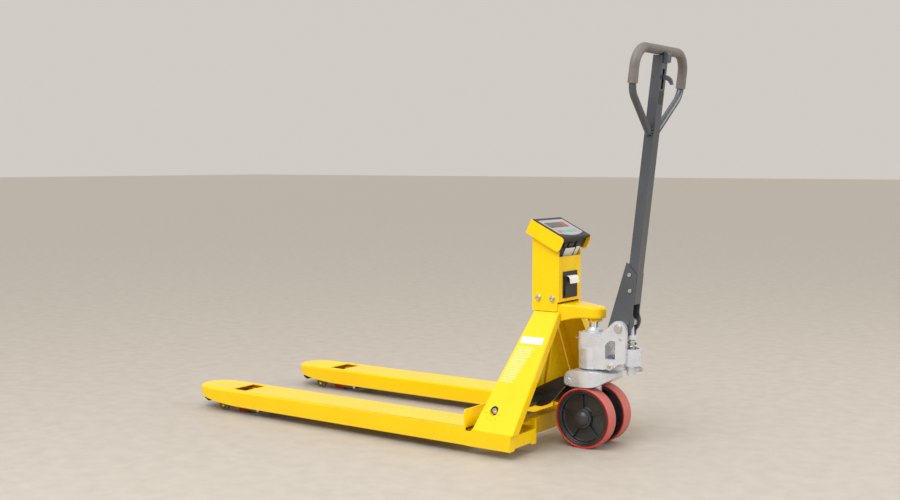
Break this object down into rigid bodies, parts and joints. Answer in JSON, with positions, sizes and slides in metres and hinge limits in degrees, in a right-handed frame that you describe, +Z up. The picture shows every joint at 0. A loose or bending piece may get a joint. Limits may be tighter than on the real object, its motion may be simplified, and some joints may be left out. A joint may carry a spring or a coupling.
{
  "type": "pallet truck scale",
  "caption": "Hand pallet truck with weighing forks, a column-mounted weight display and printer, a hydraulic hand pump, a steering handle and lifting rollers.",
  "frame": {"origin": "on the floor, under the centre of the whole truck's bounding box", "axes": "+X from the fork tips towards the operator, +Y to the operator's right, +Z up"},
  "size_m": [1.7198, 0.685, 1.2409],
  "materials": {
    "yellow_paint": "gloss powder coat",
    "black_paint": "gloss enamel",
    "charcoal_paint": "satin powder coat",
    "silver_cast": "silver enamel on a casting",
    "zinc_steel": "bright zinc plate",
    "hard_chrome": "ground and chromed",
    "red_polyurethane": "moulded",
    "black_cast": "black paint on a casting",
    "black_plastic": "moulded grain",
    "grey_rubber": "dipped",
    "overlay_film": "printed polyester film",
    "red_key": "moulded",
    "green_key": "moulded",
    "white_paper": "thermal paper"
  },
  "bodies": {
    "frame": {"left_weigh_cover": "yellow_paint", "right_weigh_cover": "yellow_paint", "left_fork_beam": "yellow_paint", "right_fork_beam": "yellow_paint", "left_front_load_cell": "zinc_steel", "right_front_load_cell": "zinc_steel", "left_rear_load_cell": "zinc_steel", "right_rear_load_cell": "zinc_steel", "left_leg": "yellow_paint", "right_leg": "yellow_paint", "front_panel": "yellow_paint", "crown_arm": "yellow_paint", "cross_beam": "yellow_paint", "rocker_shaft": "zinc_steel", "indicator_column": "yellow_paint", "indicator_head": "yellow_paint", "indicator_case": "black_plastic", "display_overlay": "overlay_film", "battery_pack": "black_plastic", "front_column_bolt": "zinc_steel", "rear_column_bolt": "zinc_steel", "printer_body": "black_plastic", "ram": "hard_chrome"},
    "thrust_bracket": {"thrust_bracket": "silver_cast", "bracket_pin": "zinc_steel"},
    "pump": {"pump_body": "silver_cast", "gland_nut": "silver_cast", "wheel_post": "silver_cast", "wheel_axle": "zinc_steel", "pivot_pin": "zinc_steel", "pump_spring": "zinc_steel"},
    "left_wheel": {"left_wheel_hub": "black_cast", "left_wheel_tyre": "red_polyurethane"},
    "right_wheel": {"right_wheel_hub": "black_cast", "right_wheel_tyre": "red_polyurethane"},
    "handle": {"handle_tube": "charcoal_paint", "handle_base": "charcoal_paint", "handle_loop": "charcoal_paint", "handle_grip": "grey_rubber"},
    "control_lever": {"control_lever": "charcoal_paint"},
    "release_rod": {"release_rod": "zinc_steel"},
    "release_valve": {"release_valve": "zinc_steel"},
    "cam_roller": {"cam_roller": "zinc_steel"},
    "plunger": {"plunger": "silver_cast"},
    "rocker": {"rocker": "black_paint"},
    "left_pushrod": {"left_pushrod": "black_paint"},
    "right_pushrod": {"right_pushrod": "black_paint"},
    "left_roller_bracket": {"left_roller_bracket": "yellow_paint"},
    "right_roller_bracket": {"right_roller_bracket": "yellow_paint"},
    "left_load_roller": {"left_load_roller": "red_polyurethane"},
    "right_load_roller": {"right_load_roller": "red_polyurethane"},
    "left_entry_roller": {"left_entry_roller": "black_plastic"},
    "right_entry_roller": {"right_entry_roller": "black_plastic"},
    "printer_door": {"printer_door": "black_plastic", "paper_roll": "white_paper"},
    "key_power": {"key_power": "red_key"},
    "key_zero": {"key_zero": "green_key"},
    "key_tare": {"key_tare": "green_key"},
    "key_total": {"key_total": "green_key"},
    "key_print": {"key_print": "green_key"}
  },
  "joints": [
    {"name": "lift", "type": "slide", "parent": "frame", "child": "thrust_bracket", "axis": [0, 0, -1], "range_m": [0, 0.11]},
    {"name": "steer", "type": "hinge", "parent": "thrust_bracket", "child": "pump", "pos_m": [0.604, 0, 0.24], "axis": [0, 0, 1], "range_deg": [-90, 90]},
    {"name": "left_wheel_spin", "type": "hinge", "parent": "pump", "child": "left_wheel", "pos_m": [0.604, -0.052, 0.095], "axis": [0, 1, 0], "continuous": true},
    {"name": "right_wheel_spin", "type": "hinge", "parent": "pump", "child": "right_wheel", "pos_m": [0.604, 0.052, 0.095], "axis": [0, 1, 0], "continuous": true},
    {"name": "handle_tilt", "type": "hinge", "parent": "pump", "child": "handle", "pos_m": [0.711, 0, 0.382], "axis": [0, 1, 0], "range_deg": [0, 75], "stiffness_Nm_per_rad": 18, "springref_deg": -51.57},
    {"name": "plunger_stroke", "type": "slide", "parent": "pump", "child": "plunger", "axis": [0, 0, -1], "range_m": [0, 0.0365], "deforming": ["pump_spring"]},
    {"name": "cam_roller_spin", "type": "hinge", "parent": "handle", "child": "cam_roller", "pos_m": [0.734, 0, 0.3997], "axis": [0, 1, 0], "continuous": true},
    {"name": "control_lever_swing", "type": "hinge", "parent": "handle", "child": "control_lever", "pos_m": [0.80379, 0, 1.14642], "axis": [0, 1, 0], "range_deg": [-12, 12], "stiffness_Nm_per_rad": 2},
    {"name": "release_rod_slide", "type": "slide", "parent": "handle", "child": "release_rod", "axis": [0.1115, 0, 0.9938], "range_m": [-0.002, 0.002]},
    {"name": "release_valve_turn", "type": "hinge", "parent": "pump", "child": "release_valve", "pos_m": [0.683, 0, 0.306], "axis": [0, 1, 0], "range_deg": [-12, 12]},
    {"name": "rocker_turn", "type": "hinge", "parent": "frame", "child": "rocker", "pos_m": [0.422, 0, 0.135], "axis": [0, 1, 0], "range_deg": [0, 44.7]},
    {"name": "left_pushrod_turn", "type": "hinge", "parent": "rocker", "child": "left_pushrod", "pos_m": [0.452, -0.263, 0.056], "axis": [0, 1, 0], "range_deg": [-46.4, 0]},
    {"name": "left_bracket_swing", "type": "hinge", "parent": "frame", "child": "left_roller_bracket", "pos_m": [-0.789, -0.263, 0.058], "axis": [0, 1, 0], "range_deg": [0, 57.6]},
    {"name": "left_load_roller_spin", "type": "hinge", "parent": "left_roller_bracket", "child": "left_load_roller", "pos_m": [-0.647, -0.263, 0.037], "axis": [0, 1, 0], "continuous": true},
    {"name": "left_entry_roller_spin", "type": "hinge", "parent": "frame", "child": "left_entry_roller", "pos_m": [-0.822, -0.2665, 0.036], "axis": [0, 1, 0], "continuous": true},
    {"name": "right_pushrod_turn", "type": "hinge", "parent": "rocker", "child": "right_pushrod", "pos_m": [0.452, 0.263, 0.056], "axis": [0, 1, 0], "range_deg": [-46.4, 0]},
    {"name": "right_bracket_swing", "type": "hinge", "parent": "frame", "child": "right_roller_bracket", "pos_m": [-0.789, 0.263, 0.058], "axis": [0, 1, 0], "range_deg": [0, 57.6]},
    {"name": "right_load_roller_spin", "type": "hinge", "parent": "right_roller_bracket", "child": "right_load_roller", "pos_m": [-0.647, 0.263, 0.037], "axis": [0, 1, 0], "continuous": true},
    {"name": "right_entry_roller_spin", "type": "hinge", "parent": "frame", "child": "right_entry_roller", "pos_m": [-0.822, 0.2665, 0.036], "axis": [0, 1, 0], "continuous": true},
    {"name": "printer_door_swing", "type": "hinge", "parent": "frame", "child": "printer_door", "pos_m": [0.5201, 0, 0.468], "axis": [0, 1, 0], "range_deg": [0, 85]},
    {"name": "key_power_press", "type": "slide", "parent": "frame", "child": "key_power", "axis": [-0.4384, 0, -0.8988], "range_m": [0, 0.0008], "stiffness_N_per_m": 600, "springref_m": -0.001},
    {"name": "key_zero_press", "type": "slide", "parent": "frame", "child": "key_zero", "axis": [-0.4384, 0, -0.8988], "range_m": [0, 0.0008], "stiffness_N_per_m": 600, "springref_m": -0.001},
    {"name": "key_tare_press", "type": "slide", "parent": "frame", "child": "key_tare", "axis": [-0.4384, 0, -0.8988], "range_m": [0, 0.0008], "stiffness_N_per_m": 600, "springref_m": -0.001},
    {"name": "key_total_press", "type": "slide", "parent": "frame", "child": "key_total", "axis": [-0.4384, 0, -0.8988], "range_m": [0, 0.0008], "stiffness_N_per_m": 600, "springref_m": -0.001},
    {"name": "key_print_press", "type": "slide", "parent": "frame", "child": "key_print", "axis": [-0.4384, 0, -0.8988], "range_m": [0, 0.0008], "stiffness_N_per_m": 600, "springref_m": -0.001}
  ],
  "couplings": [
    {"joint": "rocker_turn", "follows": "lift", "rad_per_m": 7.0769},
    {"joint": "left_pushrod_turn", "follows": "lift", "rad_per_m": -7.3336},
    {"joint": "right_pushrod_turn", "follows": "lift", "rad_per_m": -7.3336},
    {"joint": "left_bracket_swing", "follows": "lift", "rad_per_m": 9.1164},
    {"joint": "right_bracket_swing", "follows": "lift", "rad_per_m": 9.1164},
    {"joint": "plunger_stroke", "follows": "handle_tilt", "m_per_rad": 0.0275},
    {"joint": "release_rod_slide", "follows": "control_lever_swing", "m_per_rad": -0.0087},
    {"joint": "release_valve_turn", "follows": "control_lever_swing", "ratio": 1}
  ]
}
